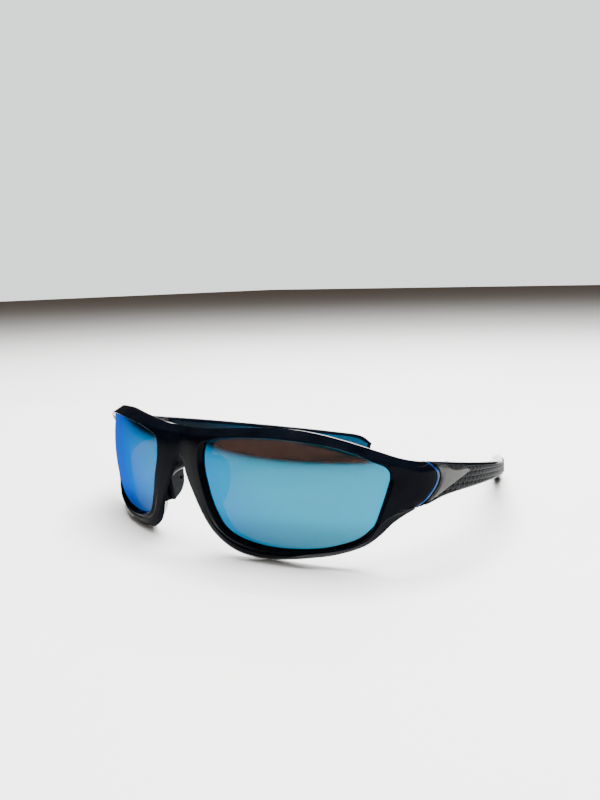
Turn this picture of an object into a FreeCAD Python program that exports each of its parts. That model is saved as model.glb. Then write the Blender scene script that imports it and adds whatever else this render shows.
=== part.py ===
import FreeCAD, Part
import Sketcher
import math
import os
from FreeCAD import Placement, Rotation, Vector

# Wraparound sport sunglasses, open and standing on a table: +Z up, the front faces -Y,
# +X is the wearer's left, and the arms run back towards +Y.  The left side is drawn and
# the right side is its mirror image.  Outlines are drawn in millimetres from the table
# plane, the middle plane and the plane through the bridge's "y = 0" datum; each node's
# placement then moves that datum so that the origin is the bottom centre of the open pair.

DRIVING_DIMENSIONS = [
    ("lens_radius", 68.4, "front surface of the spherical lens"),
    ("lens_thick", 2.0, "lens thickness"),
    ("lens_seat", 0.9, "how far the lens edge sits in the rim's groove"),
    ("lens_centre_x", 14.4, "sphere centre, sideways from the middle plane"),
    ("lens_centre_y", 52.6, "sphere centre, behind the bridge datum"),
    ("lens_centre_z", 25.1, "sphere centre above the table"),
    ("rim_proud", 1.5, "rim face in front of the lens surface"),
    ("rim_depth", 5.6, "rim thickness, front to back"),
    ("joint_x", 72.8, "outer face at the arm joint, sideways"),
    ("joint_y", 19.6, "outer face at the arm joint, front to back"),
    ("joint_heading", 8.0, "degrees outward of straight back, at the joint"),
    ("rim_heading", 42.0, "degrees outward where the endpiece leaves the rim"),
    ("endpiece_bend", 26.0, "plan radius of the endpiece's outer face"),
    ("endpiece_thick", 5.0, "endpiece wall"),
    ("arm_bend", 93.1, "plan radius of the arm's outer face"),
    ("arm_tip_heading", 28.5, "degrees inward at the arm's straight rear part"),
    ("arm_straight", 56.6, "length of the straight rear part"),
    ("arm_thick", 4.0, "arm thickness"),
    ("arm_gap", 0.45, "gap between the accent strip and the arm"),
    ("panel_thick", 0.9, "outer grip panel and badge plate"),
    ("liner_thick", 0.7, "coloured inner liner"),
    ("liner_border", 1.1, "black border round the liner"),
    ("liner_start_y", 36.0, "front end of the coloured liner"),
    ("grip_border", 0.6, "border above and below the grip panel"),
    ("grip_end_y", 104.0, "rear end of the textured grip"),
    ("strip_width", 1.1, "accent strip, along the arm"),
    ("strip_depth", 1.6, "accent strip, into the endpiece"),
    ("hinge_x", 67.0, "hinge axis, sideways"),
    ("hinge_y", 21.0, "hinge axis, front to back"),
    ("hinge_z", 24.9, "middle of the hinge"),
    ("hinge_tall", 7.0, "height of the hinge"),
    ("knuckle_rad", 1.5, "outside radius of the knuckles"),
    ("knuckle_mid", 3.0, "height of the arm leaf's middle knuckle"),
    ("knuckle_gap", 0.15, "gap between knuckles, along the axis"),
    ("knuckle_room", 0.3, "space round the knuckles in the plastic"),
    ("leaf_thick", 0.8, "hinge leaf plate"),
    ("leaf_offset", 0.5, "plate's inner face, outboard of the axis"),
    ("leaf_front", 9.0, "front leaf's reach forward of the axis"),
    ("leaf_rear", 11.5, "rear leaf's reach behind the axis"),
    ("leaf_clear", 1.9, "where the full-height plate starts, from the axis"),
    ("neck_lap", 1.0, "overlap of the rear leaf's neck and its plate"),
    ("seat_reach", 9.0, "leaf seats' reach inward from the plates"),
    ("seat_behind", 5.0, "front leaf seat's reach behind the axis"),
    ("boss_past", 0.8, "plastic boss, past the rear leaf's end"),
    ("boss_deep", 2.2, "plastic boss, outboard of the rear leaf"),
    ("pin_rad", 0.7, "hinge screw shank"),
    ("pin_fit", 0.03, "running clearance round the shank"),
    ("pin_head_rad", 1.3, "hinge screw head"),
    ("pin_head_tall", 0.6, "hinge screw head height"),
    ("fixing_rad", 0.6, "leaf fixing screw shank"),
    ("fixing_long", 2.2, "fixing screw length below the plate"),
    ("fixing_head_rad", 1.05, "fixing screw head"),
    ("fixing_head_tall", 0.6, "fixing screw head height"),
    ("fixing_pitch", 3.4, "spacing of the two fixing screws"),
    ("fixing_front", 6.2, "front fixing screws, ahead of the axis"),
    ("fixing_rear", 7.5, "rear fixing screws, behind the axis"),
    ("pad_thick", 1.5, "rubber nose pad"),
    ("pad_inset", 0.5, "pad edge, inside the wing's edge"),
    ("pad_setback", 2.2, "pad's front edge, behind the wing's front edge"),
    ("pad_room", 0.3, "space round the pad in the rim"),
    ("wing_thick", 1.8, "nose wing that carries the pad"),
    ("pad_hole_rad", 0.65, "vent hole in the pad"),
    ("pad_hole_pitch", 2.8, "spacing of the vent holes"),
    ("pad_tilt", 10.0, "degrees, pad top leans to the middle plane"),
    ("pad_flare", 7.0, "degrees, pad opens towards the back"),
    ("depth_centre", 54.9, "middle of the open pair behind the bridge datum"),
]

doc = FreeCAD.newDocument("SportSunglasses")
sheet = doc.addObject("Spreadsheet::Sheet", "Dimensions")
for row, (alias, number, meaning) in enumerate(DRIVING_DIMENSIONS, start=1):
    sheet.set(f"A{row}", alias)
    sheet.set(f"B{row}", str(number))
    sheet.set(f"C{row}", meaning)
    sheet.setAlias(f"B{row}", alias)
doc.recompute()


def size(alias):
    return float(sheet.get(alias))


LEFT, RIGHT = "left", "right"
# Reaches of the cutting bodies, all past the glasses: up, sideways, ahead and behind.
TALL, WIDE, AHEAD, BEHIND = 60.0, 90.0, -40.0, 140.0
PAST_JOINT = 5.0  # the front's plan runs on behind the arm joint before it is trimmed
PAST_TIP = 1.2  # the plan path's straight part, drawn longer than the arm
CONE_PLANES = (-26.0, 24.0)  # y planes ahead of and behind the lens, where its cone is drawn
BADGE_START_Y = 5.0  # the badge region begins ahead of the joint
VENT_REACH = 5.0  # vent holes' length through the wing
ORIGIN_SHIFT = Vector(0, -size("depth_centre"), 0)
LENS_CENTRE = Vector(size("lens_centre_x"), size("lens_centre_y"), size("lens_centre_z"))

# Opening that the lens shows through, seen from the front (x, z), from the nose round
# over the brow to the temple side and back along the bottom.
LENS_OPENING = [
    (11.1, 29.5), (12.0, 34.6), (17.7, 36.9), (27.0, 38.2), (37.0, 38.6), (48.0, 37.6),
    (57.0, 35.1), (62.0, 32.4), (64.6, 30.7), (65.4, 28.6), (63.9, 20.9), (61.2, 13.2), (58.0, 8.8),
    (50.5, 6.2), (38.0, 4.9), (26.5, 5.9), (18.6, 9.0), (15.0, 15.0), (12.5, 23.0),
]
# Outer edge of the left half of the front, seen from the front (x, z).
BROW_EDGE = [(0, 39.0), (9, 39.3), (18.5, 40.2), (28, 41.1), (37, 41.5), (46.4, 40.5),
             (55.6, 37.9), (64, 34.7), (72, 31.4), (80, 28.6)]
LOWER_EDGE = [(80, 20.0), (73.5, 19.5), (70.3, 17.8), (66.7, 14.2), (63.5, 10.4), (59.4, 6.9),
              (52.5, 4.1), (44.6, 2.1), (36, 0.5), (29.5, 0.0), (24.5, 0.6), (20.5, 1.8), (16.5, 3.9),
              (13.4, 6.3), (11.2, 9.0), (9.4, 12.4), (8.0, 15.4), (6.4, 18.6), (4.4, 22.0),
              (2.7, 25.2), (1.8, 28.0), (0, 29.8)]
# Space for the nose, seen from the front (x, z), at the rim's face and well behind it.
NOSE_FRONT = [(22, -1), (16.1, 4.2), (11.2, 9.0), (8.9, 13.4), (6.8, 17.8), (4.6, 21.6), (0, 29.8)]
NOSE_BACK = [(32, -1), (23.0, 4.2), (18.0, 9.0), (15.2, 13.4), (13.6, 17.8), (12.6, 22.6), (0, 33.0)]
NOSE_FRONT_Y, NOSE_BACK_Y = -17.0, -5.0
# Arrow-shaped joint between the front and the arm, seen from the side (y, z).
ARM_JOINT = [(11.2, 15.6), (13.6, 18.6), (16.9, 21.7), (19.6, 24.4), (20.7, 27.0),
             (19.7, 29.4), (17.6, 31.5), (14.8, 33.6)]
# Arm, seen from the side (y, z): along the top, round the tip and back underneath.
ARM_EDGE = [(8, 33.1), (28, 29.4), (60, 23.1), (90, 17.1), (114, 11.9),
            (122.5, 9.5), (126.8, 5.7), (125.2, 1.7), (120.0, 0.1), (112, 2.7), (100, 7.4),
            (85, 12.5), (70, 15.9), (55, 18.1), (40, 19.6), (28, 20.2), (20, 19.9), (13.5, 18.6), (8, 16.8)]
# Badge plate's two swept edges, seen from the side (y, z), from the joint to its point.
BADGE_UPPER = [(22.6, 31.5), (23.0, 29.6), (25.6, 27.7), (31.0, 26.6), (36.6, 25.5), (38.8, 24.6)]
BADGE_LOWER = [(38.8, 24.6), (31.5, 23.6), (24.5, 22.4), (19.6, 20.9), (17.0, 18.4)]
# Nose wing, seen from the side, from the middle vent hole (y, z).
WING = [(-6.5, 8.7), (-3.2, 8.9), (-0.2, 7.4), (1.8, 4.0), (2.2, -0.6), (1.4, -4.8),
        (-0.8, -7.7), (-3.2, -9.1), (-6.5, -9.3)]
WING_PLACE = Vector(10.6, -8.3, 22.6)
# Height of the joint's section that the accent strip fills, seen from the side (y, z).
STRIP_EXTENT = [(8, 18.4), (24, 18.9), (24, 32.4), (8, 32.4)]


# ---------------------------------------------------------------- drawing helpers

def smooth(points, closed=False, span=3):
    """One smooth curve through the points, as edges of a few spans with shared tangents."""
    count = len(points)
    following = points[1:] + (points[:1] if closed else points[-1:])
    before = (points[-1:] if closed else points[:1]) + points[:-1]
    tangents = [(after - ahead).normalize() for after, ahead in zip(following, before)]
    stops = list(range(0, count - 1, span)) + [count if closed else count - 1]
    edges = []
    for first, last in zip(stops, stops[1:]):
        curve = Part.BSplineCurve()
        stretch = [points[index % count] for index in range(first, last + 1)]
        curve.interpolate(Points=stretch, InitialTangent=tangents[first],
                          FinalTangent=tangents[last % count])
        edges.append(curve.toShape())
    return edges


def from_front(points, y=0.0):
    return [Vector(x, y, z) for x, z in points]


def from_side(points, x=0.0):
    return [Vector(x, y, z) for y, z in points]


def grown(points, distance):
    """Closed outline moved outward by distance; the points run clockwise as drawn."""
    moved = []
    for index, (across, up) in enumerate(points):
        before = points[index - 1]
        after = points[(index + 1) % len(points)]
        run = (after[0] - before[0], after[1] - before[1])
        length = math.hypot(*run)
        moved.append((across - distance * run[1] / length, up + distance * run[0] / length))
    return moved


def shifted(points, distance):
    return [(across + distance, up) for across, up in points]


def face_of(edges):
    return Part.Face(Part.Wire(Part.__sortEdges__(edges)))


def prism_from_side(edges, low_x=0.0, high_x=WIDE):
    face = face_of(edges)
    face.translate(Vector(low_x, 0, 0))
    return face.extrude(Vector(high_x - low_x, 0, 0))


def mirrored(shape):
    return shape.mirror(Vector(0, 0, 0), Vector(1, 0, 0))


def block(low, high):
    spans = [top - bottom for bottom, top in zip(low, high)]
    return Part.makeBox(*spans, Vector(*low))


# ---------------------------------------------------------------- plan of the wrap

def unit(heading):
    """Plan direction that points heading degrees outward of straight back."""
    angle = math.radians(heading)
    return Vector(math.sin(angle), math.cos(angle), 0)


def outward(heading):
    angle = math.radians(heading)
    return Vector(math.cos(angle), -math.sin(angle), 0)


JOINT = Vector(size("joint_x"), size("joint_y"), 0)
BEND_CENTRE = JOINT - outward(size("joint_heading")) * size("endpiece_bend")
ARM_CENTRE = JOINT - outward(size("joint_heading")) * size("arm_bend")


def endpiece_point(heading, inset):
    return BEND_CENTRE + outward(heading) * (size("endpiece_bend") - inset)


def arm_point(heading, inset):
    return ARM_CENTRE + outward(heading) * (size("arm_bend") - inset)


def wrap_path(inset):
    """Edges of the outer face's plan, moved inward: endpiece bend, arm bend, straight."""
    first, joint, tip = size("rim_heading"), size("joint_heading"), -size("arm_tip_heading")
    corner = endpiece_point(first, inset)
    middle = endpiece_point(joint, inset)
    bend_end = arm_point(tip, inset)
    tip_end = bend_end + unit(tip) * size("arm_straight") * PAST_TIP
    bend = Part.Arc(corner, endpiece_point((first + joint) / 2, inset), middle).toShape()
    sweep = Part.Arc(middle, arm_point((joint + tip) / 2, inset), bend_end).toShape()
    return [bend, sweep, Part.makeLine(bend_end, tip_end)], corner, tip_end


def wrap_band(outer_inset, inner_inset):
    """Upright wall that follows the plan, between two depths below the outer face."""
    outside, first_out, last_out = wrap_path(outer_inset)
    inside, first_in, last_in = wrap_path(inner_inset)
    ends = [Part.makeLine(first_out, first_in), Part.makeLine(last_out, last_in)]
    return face_of(outside + inside + ends).extrude(Vector(0, 0, TALL))


def front_plan(inset):
    """Region behind the front's plan line, to the middle plane, as an upright body."""
    heading = size("rim_heading")
    corner = endpiece_point(heading, inset)
    joint = endpiece_point(size("joint_heading"), inset)
    ahead = corner - unit(heading) * TALL
    behind = joint + unit(size("joint_heading")) * PAST_JOINT
    bend = Part.Arc(corner, endpiece_point((heading + size("joint_heading")) / 2, inset), joint)
    corners = [behind, Vector(0, behind.y, 0), Vector(0, ahead.y, 0), ahead]
    lines = [Part.makeLine(start, end) for start, end in zip(corners, corners[1:])]
    lines += [Part.makeLine(ahead, corner), Part.makeLine(joint, behind)]
    return face_of(lines + [bend.toShape()]).extrude(Vector(0, 0, TALL))


# ---------------------------------------------------------------- lenses and front frame

def sight_cone(grow):
    """Cone from the lens sphere's centre through the opening's outline."""
    radius = size("lens_radius")
    wires = []
    for plane_y in CONE_PLANES:
        section = []
        for x, z in grown(LENS_OPENING, grow):
            ray = Vector(x - LENS_CENTRE.x, 0, z - LENS_CENTRE.z)
            ray.y = -math.sqrt(radius ** 2 - ray.x ** 2 - ray.z ** 2)
            section.append(LENS_CENTRE + ray * ((plane_y - LENS_CENTRE.y) / ray.y))
        wires.append(Part.Wire(smooth(section, closed=True)))
    return Part.makeLoft(wires, True, True)


def lens_shape():
    shell = Part.makeSphere(size("lens_radius"), LENS_CENTRE)
    shell = shell.cut(Part.makeSphere(size("lens_radius") - size("lens_thick"), LENS_CENTRE))
    return shell.common(sight_cone(size("lens_seat")))


def wing_rotation():
    return Rotation(Vector(0, 0, 1), -size("pad_flare")) * Rotation(Vector(0, 1, 0), size("pad_tilt"))


def wing_edges(grow):
    outline = from_side(grown(WING, grow))
    return smooth(outline) + [Part.makeLine(outline[-1], outline[0])]


def nose_wing():
    """Plastic wing behind the rim that carries the nose pad, with its vent holes."""
    low_x = size("pad_thick") / 2
    wing = prism_from_side(wing_edges(0.0), low_x, low_x + size("wing_thick"))
    for step in (-1, 0, 1):
        start = Vector(0, 0, step * size("pad_hole_pitch"))
        hole = Part.makeCylinder(size("pad_hole_rad"), VENT_REACH, start, Vector(1, 0, 0))
        wing = wing.cut(hole)
    wing.Placement = Placement(WING_PLACE, wing_rotation())
    return wing


def pad_room():
    """Space in the rim for the pad, from the wing's face towards the nose."""
    room = prism_from_side(wing_edges(size("pad_room")), -NOSE_BACK[0][0], size("pad_thick") / 2)
    room.Placement = Placement(WING_PLACE, wing_rotation())
    return room


def nose_space():
    """Wedge that the nose sits in, wider behind the rim than at its face (left half)."""
    wires = []
    for points, plane_y in ((NOSE_FRONT, NOSE_FRONT_Y), (NOSE_BACK, NOSE_BACK_Y)):
        flank = from_front(points, plane_y)
        corner = Vector(0, plane_y, flank[0].z)
        wires.append(Part.Wire(smooth(flank) + [Part.makeLine(flank[-1], corner),
                                                Part.makeLine(corner, flank[0])]))
    return Part.makeLoft(wires, True, True)


def joint_region(shift):
    """Everything in front of the arrow-shaped joint line, moved back by shift."""
    line = from_side(shifted(ARM_JOINT, shift))
    bottom, top = line[0], line[-1]
    corners = [top, Vector(0, top.y, TALL), Vector(0, AHEAD, TALL), Vector(0, AHEAD, -1),
               Vector(0, bottom.y, -1), bottom]
    lines = [Part.makeLine(start, end) for start, end in zip(corners, corners[1:])]
    return prism_from_side(smooth(line) + lines)


def half_front():
    """Left half of the front before the lens, hinge and strip are let in."""
    face_radius = size("lens_radius") + size("rim_proud")
    wall = Part.makeSphere(face_radius, LENS_CENTRE).common(front_plan(0.0))
    hollow = Part.makeSphere(face_radius - size("rim_depth"), LENS_CENTRE)
    wall = wall.cut(hollow.common(front_plan(size("endpiece_thick"))))
    brow = from_front(BROW_EDGE, AHEAD)
    lower = from_front(LOWER_EDGE, AHEAD)
    ends = [Part.makeLine(brow[-1], lower[0]), Part.makeLine(lower[-1], brow[0])]
    outline = face_of(smooth(brow) + smooth(lower) + ends).extrude(Vector(0, -2 * AHEAD, 0))
    half = wall.common(outline).common(joint_region(0.0)).cut(nose_space())
    half = half.cut(pad_room()).fuse(nose_wing())
    return half.cut(sight_cone(0.0))


def strip_shape():
    band = wrap_band(0.0, size("strip_depth"))
    slab = joint_region(0.0).cut(joint_region(-size("strip_width")))
    return band.common(slab).common(half_outline_of_joint())


def half_outline_of_joint():
    """Part of the joint's cross-section that the endpiece fills, from the side."""
    corners = closed_pairs(from_side(STRIP_EXTENT))
    return prism_from_side([Part.makeLine(start, end) for start, end in corners])


def closed_pairs(points):
    return list(zip(points, points[1:] + points[:1]))


# ---------------------------------------------------------------- arms

def arm_profile(inset, low_y=0.0, high_y=BEHIND):
    """Arm's side outline as a body; inset draws it smaller all round."""
    edge = from_side(grown(ARM_EDGE, -inset))
    body = prism_from_side(smooth(edge) + [Part.makeLine(edge[-1], edge[0])])
    body = body.cut(joint_region(size("arm_gap") + inset))
    return body.common(block((-1, low_y, -1), (WIDE, high_y, TALL)))


def badge_region():
    upper, lower = from_side(BADGE_UPPER), from_side(BADGE_LOWER)
    corners = [lower[-1], Vector(0, BADGE_START_Y, lower[-1].z),
               Vector(0, BADGE_START_Y, upper[0].z), upper[0]]
    lines = [Part.makeLine(start, end) for start, end in zip(corners, corners[1:])]
    return prism_from_side(smooth(upper) + smooth(lower) + lines)


def badge_shape():
    band = wrap_band(0.0, size("panel_thick"))
    return band.common(arm_profile(size("grip_border") / 2)).common(badge_region())


def grip_shape():
    band = wrap_band(0.0, size("panel_thick"))
    panel = arm_profile(size("grip_border"), 0.0, size("grip_end_y"))
    return band.common(panel).cut(badge_region())


def liner_shape():
    low = size("arm_thick") - size("liner_thick")
    return wrap_band(low, size("arm_thick")).common(
        arm_profile(size("liner_border"), size("liner_start_y")))


def hinge_recess(top_room):
    """Round clearance for the knuckles and the screw head, about the hinge axis."""
    radius = size("knuckle_rad") + size("knuckle_room")
    low = size("hinge_z") - size("hinge_tall") / 2 - size("knuckle_room")
    tall = size("hinge_tall") + 2 * size("knuckle_room") + top_room
    return Part.makeCylinder(radius, tall, Vector(size("hinge_x"), size("hinge_y"), low))


def leaf_seat(low_y, high_y, low_x, high_x, spare=0.0):
    half = size("hinge_tall") / 2 + spare
    return block((low_x, low_y, size("hinge_z") - half), (high_x, high_y, size("hinge_z") + half))


LEAF_FACE = size("hinge_x") + size("leaf_offset") + size("leaf_thick")
SEAT_END = LEAF_FACE - size("seat_reach")


def arm_shape(badge, grip, liner, fixings):
    shell = wrap_band(0.0, size("arm_thick")).common(arm_profile(0.0))
    start = size("hinge_y") + size("knuckle_room")
    end = size("hinge_y") + size("leaf_rear") + size("boss_past")
    boss = leaf_seat(start, end, LEAF_FACE, LEAF_FACE + size("boss_deep"))
    shell = shell.fuse(boss.common(arm_profile(0.0)))
    shell = shell.cut(leaf_seat(0.0, end, SEAT_END, LEAF_FACE, size("knuckle_room")))
    shell = shell.cut(hinge_recess(size("pin_head_tall")))
    for inlay in (badge, grip, liner, fixings):
        shell = shell.cut(inlay)
    return shell


# ---------------------------------------------------------------- hinge pieces

def add_body(name):
    body = doc.addObject("PartDesign::Body", name)
    body.Label = name
    return body


def origin_plane(body, role):
    return next(item for item in body.Origin.OriginFeatures if item.Role == role)


def add_sketch(body, name, role):
    sketch = body.newObject("Sketcher::SketchObject", name)
    sketch.AttachmentSupport = [(origin_plane(body, role), "")]
    sketch.MapMode = "FlatFace"
    return sketch


def bind(sketch, kind, geometry, name, expression):
    """Adds one named driving constraint, bound to the sheet."""
    index = sketch.addConstraint(Sketcher.Constraint(kind, *geometry))
    sketch.renameConstraint(index, name)
    sketch.setExpression(f"Constraints.{name}", expression)


def draw_circle(sketch, radius_expression):
    circle = sketch.addGeometry(Part.Circle(Vector(0, 0, 0), Vector(0, 0, 1), 1.0))
    sketch.addConstraint(Sketcher.Constraint("Coincident", circle, 3, -1, 1))
    bind(sketch, "Radius", (circle, 1.0), f"radius{circle}", radius_expression)


def draw_rectangle(sketch, low, high, expressions):
    """Rectangle from low to high; expressions drive its left, right, bottom and top."""
    corners = [Vector(low[0], low[1], 0), Vector(high[0], low[1], 0),
               Vector(high[0], high[1], 0), Vector(low[0], high[1], 0)]
    first = sketch.GeometryCount
    for start, end in closed_pairs(corners):
        sketch.addGeometry(Part.LineSegment(start, end))
    for step in range(4):
        following = first + (step + 1) % 4
        sketch.addConstraint(Sketcher.Constraint("Coincident", first + step, 2, following, 1))
        sketch.addConstraint(Sketcher.Constraint(("Horizontal", "Vertical")[step % 2], first + step))
    left, right, bottom, top = expressions
    bind(sketch, "DistanceX", (-1, 1, first, 1, low[0]), f"left{first}", left)
    bind(sketch, "DistanceX", (-1, 1, first, 2, high[0]), f"right{first}", right)
    bind(sketch, "DistanceY", (-1, 1, first, 1, low[1]), f"bottom{first}", bottom)
    bind(sketch, "DistanceY", (-1, 1, first + 2, 1, high[1]), f"top{first}", top)


def add_prism(body, kind, name, sketch, length_expression):
    """Pad or Pocket, the same amount on both sides of the sketch's plane."""
    feature = body.newObject(f"PartDesign::{kind}", name)
    feature.Profile = sketch
    feature.SideType = "Symmetric"
    feature.setExpression("Length", length_expression)
    body.Tip = feature
    return feature


INNER = "Dimensions.leaf_offset"
OUTER = "Dimensions.leaf_offset + Dimensions.leaf_thick"
BORE = "Dimensions.pin_rad + Dimensions.pin_fit"


def drill_leaf(body, name, reach_alias, sign):
    """Two screw holes through the plate, in line along the hinge axis."""
    sketch = add_sketch(body, f"{name}_hole_sketch", "YZ_Plane")
    for step in (-1, 1):
        centre = Vector(sign * size(reach_alias), step * size("fixing_pitch") / 2, 0)
        hole = sketch.addGeometry(Part.Circle(centre, Vector(0, 0, 1), size("fixing_rad")))
        bind(sketch, "Radius", (hole, size("fixing_rad")), f"radius{hole}", "Dimensions.fixing_rad")
        bind(sketch, "DistanceX", (-1, 1, hole, 3, centre.x), f"reach{hole}",
             f"{sign} * Dimensions.{reach_alias}")
        bind(sketch, "DistanceY", (-1, 1, hole, 3, centre.y), f"pitch{hole}",
             f"{step} * Dimensions.fixing_pitch / 2")
    add_prism(body, "Pocket", f"{name}_holes", sketch, "4 * Dimensions.knuckle_rad")


def front_leaf(name):
    """Leaf on the front: full-height knuckle and plate, cleared for the arm's knuckle."""
    body = add_body(name)
    plate = add_sketch(body, f"{name}_plate_sketch", "XY_Plane")
    low, high = -size("leaf_front"), 0.0
    draw_rectangle(plate, (size("leaf_offset"), low), (size("leaf_offset") + size("leaf_thick"), high),
                   (INNER, OUTER, "-Dimensions.leaf_front", "0"))
    add_prism(body, "Pad", f"{name}_plate", plate, "Dimensions.hinge_tall")
    barrel = add_sketch(body, f"{name}_barrel_sketch", "XY_Plane")
    draw_circle(barrel, "Dimensions.knuckle_rad")
    add_prism(body, "Pad", f"{name}_barrel", barrel, "Dimensions.hinge_tall")
    room = add_sketch(body, f"{name}_room_sketch", "XY_Plane")
    draw_circle(room, "Dimensions.leaf_clear")
    add_prism(body, "Pocket", f"{name}_room", room,
              "Dimensions.knuckle_mid + 2 * Dimensions.knuckle_gap")
    bore = add_sketch(body, f"{name}_bore_sketch", "XY_Plane")
    draw_circle(bore, BORE)
    add_prism(body, "Pocket", f"{name}_bore", bore, "2 * Dimensions.hinge_tall")
    drill_leaf(body, name, "fixing_front", -1)
    return body


def rear_leaf(name):
    """Leaf on the arm: a full-height plate that narrows to one middle knuckle."""
    body = add_body(name)
    plate = add_sketch(body, f"{name}_plate_sketch", "XY_Plane")
    inside, outside = size("leaf_offset"), size("leaf_offset") + size("leaf_thick")
    draw_rectangle(plate, (inside, size("leaf_clear")), (outside, size("leaf_rear")),
                   (INNER, OUTER, "Dimensions.leaf_clear", "Dimensions.leaf_rear"))
    add_prism(body, "Pad", f"{name}_plate", plate, "Dimensions.hinge_tall")
    neck = add_sketch(body, f"{name}_neck_sketch", "XY_Plane")
    draw_rectangle(neck, (inside, 0.0), (outside, size("leaf_clear") + size("neck_lap")),
                   (INNER, OUTER, "0", "Dimensions.leaf_clear + Dimensions.neck_lap"))
    add_prism(body, "Pad", f"{name}_neck", neck, "Dimensions.knuckle_mid")
    barrel = add_sketch(body, f"{name}_barrel_sketch", "XY_Plane")
    draw_circle(barrel, "Dimensions.knuckle_rad")
    add_prism(body, "Pad", f"{name}_barrel", barrel, "Dimensions.knuckle_mid")
    bore = add_sketch(body, f"{name}_bore_sketch", "XY_Plane")
    draw_circle(bore, BORE)
    add_prism(body, "Pocket", f"{name}_bore", bore, "2 * Dimensions.hinge_tall")
    drill_leaf(body, name, "fixing_rear", 1)
    return body


def hinge_screw(name):
    """Hinge screw: a shank through the knuckles and a flat head above them."""
    shank = doc.addObject("Part::Cylinder", f"{name}_shank")
    shank.setExpression("Radius", "Dimensions.pin_rad")
    shank.setExpression("Height", "Dimensions.hinge_tall")
    shank.setExpression("Placement.Base.z", "-Dimensions.hinge_tall / 2")
    head = doc.addObject("Part::Cylinder", f"{name}_head")
    head.setExpression("Radius", "Dimensions.pin_head_rad")
    head.setExpression("Height", "Dimensions.pin_head_tall")
    head.setExpression("Placement.Base.z", "Dimensions.hinge_tall / 2")
    slot = doc.addObject("Part::Box", f"{name}_slot")
    slot.setExpression("Length", "3 * Dimensions.pin_head_rad")
    slot.setExpression("Width", "Dimensions.pin_head_rad / 4")
    slot.setExpression("Height", "Dimensions.pin_head_tall")
    slot.setExpression("Placement.Base.x", "-1.5 * Dimensions.pin_head_rad")
    slot.setExpression("Placement.Base.y", "-Dimensions.pin_head_rad / 8")
    slot.setExpression("Placement.Base.z", "Dimensions.hinge_tall / 2 + Dimensions.pin_head_tall / 2")
    whole = doc.addObject("Part::Fuse", f"{name}_blank")
    whole.Base, whole.Tool = shank, head
    screw = doc.addObject("Part::Cut", name)
    screw.Base, screw.Tool = whole, slot
    screw.Label = name
    return screw


def fixing_screws(name, reach_alias, sign):
    """Two screws that hold a leaf: heads on the plate's inner face, shanks outboard."""
    bodies = []
    for step, end in ((-1, "lower"), (1, "upper")):
        for part, radius, start, length in (
                ("shank", "fixing_rad", INNER, "Dimensions.leaf_thick + Dimensions.fixing_long"),
                ("head", "fixing_head_rad", f"{INNER} - Dimensions.fixing_head_tall",
                 "Dimensions.fixing_head_tall")):
            rod = doc.addObject("Part::Cylinder", f"{name}_{end}_{part}")
            rod.setExpression("Radius", f"Dimensions.{radius}")
            rod.setExpression("Height", length)
            rod.Placement = Placement(Vector(), Rotation(Vector(0, 1, 0), 90))
            rod.setExpression("Placement.Base.x", start)
            rod.setExpression("Placement.Base.y", f"{sign} * Dimensions.{reach_alias}")
            rod.setExpression("Placement.Base.z", f"{step} * Dimensions.fixing_pitch / 2")
            bodies.append(rod)
    group = doc.addObject("Part::MultiFuse", name)
    group.Shapes = bodies
    group.Label = name
    return group


def nose_pad(name):
    """Rubber pad with three vent holes, drawn about its middle hole."""
    body = add_body(name)
    sketch = add_sketch(body, f"{name}_sketch", "YZ_Plane")
    front_edge = WING[0][0] + size("pad_setback")
    points = [(max(y, front_edge), z) for y, z in grown(WING, -size("pad_inset"))]
    curve = Part.BSplineCurve()
    curve.interpolate(Points=[Vector(y, z, 0) for y, z in points])
    first = sketch.addGeometry(curve)
    start, end = Vector(*points[-1], 0), Vector(*points[0], 0)
    line = sketch.addGeometry(Part.LineSegment(start, end))
    sketch.addConstraint(Sketcher.Constraint("Coincident", first, 2, line, 1))
    sketch.addConstraint(Sketcher.Constraint("Coincident", line, 2, first, 1))
    add_prism(body, "Pad", f"{name}_blank", sketch, "Dimensions.pad_thick")
    holes = add_sketch(body, f"{name}_hole_sketch", "YZ_Plane")
    for step in (-1, 0, 1):
        centre = Vector(0, step * size("pad_hole_pitch"), 0)
        hole = holes.addGeometry(Part.Circle(centre, Vector(0, 0, 1), size("pad_hole_rad")))
        bind(holes, "Radius", (hole, size("pad_hole_rad")), f"radius{hole}", "Dimensions.pad_hole_rad")
        bind(holes, "DistanceX", (-1, 1, hole, 3, 0.0), f"across{hole}", "0")
        bind(holes, "DistanceY", (-1, 1, hole, 3, centre.y), f"up{hole}",
             f"{step} * Dimensions.pad_hole_pitch")
    add_prism(body, "Pocket", f"{name}_holes", holes, "4 * Dimensions.pad_thick")
    return body


# ---------------------------------------------------------------- assembly

nodes = []


def place(node, base=Vector(), rotation=Rotation()):
    node.Placement = Placement(base + ORIGIN_SHIFT, rotation)
    nodes.append(node)


def add_feature(name, shape):
    feature = doc.addObject("Part::Feature", name)
    feature.Label = name
    feature.Shape = shape
    place(feature)


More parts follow.
